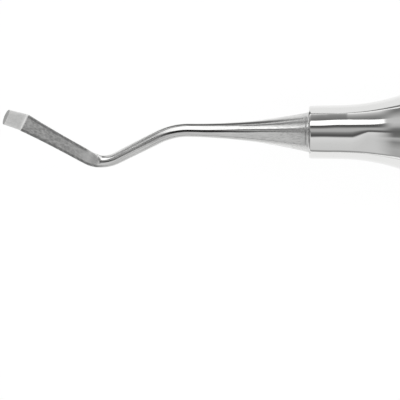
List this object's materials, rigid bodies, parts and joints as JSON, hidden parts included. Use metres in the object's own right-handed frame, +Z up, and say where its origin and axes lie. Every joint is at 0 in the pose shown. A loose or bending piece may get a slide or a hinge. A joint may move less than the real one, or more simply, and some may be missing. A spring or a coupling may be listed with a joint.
{
  "type": "surgical curette",
  "caption": "Double-ended surgical curette: smooth hollow steel handle with flared ends, and bent shanks with flat-faced blades and turned-up toes.",
  "frame": {"origin": "on the table, under the middle of the handle", "axes": "+X along the handle towards the working end whose face looks down, +Z up, the shanks' bends level in the XY plane"},
  "size_m": [0.1776, 0.01, 0.01],
  "materials": {
    "polished_handle": "mirror polished stainless steel",
    "polished_working_end": "polished stainless steel shank with a satin ground blade"
  },
  "bodies": {
    "root": {"handle": "polished_handle", "working_end_left": "polished_working_end", "working_end_right": "polished_working_end"}
  },
  "joints": []
}
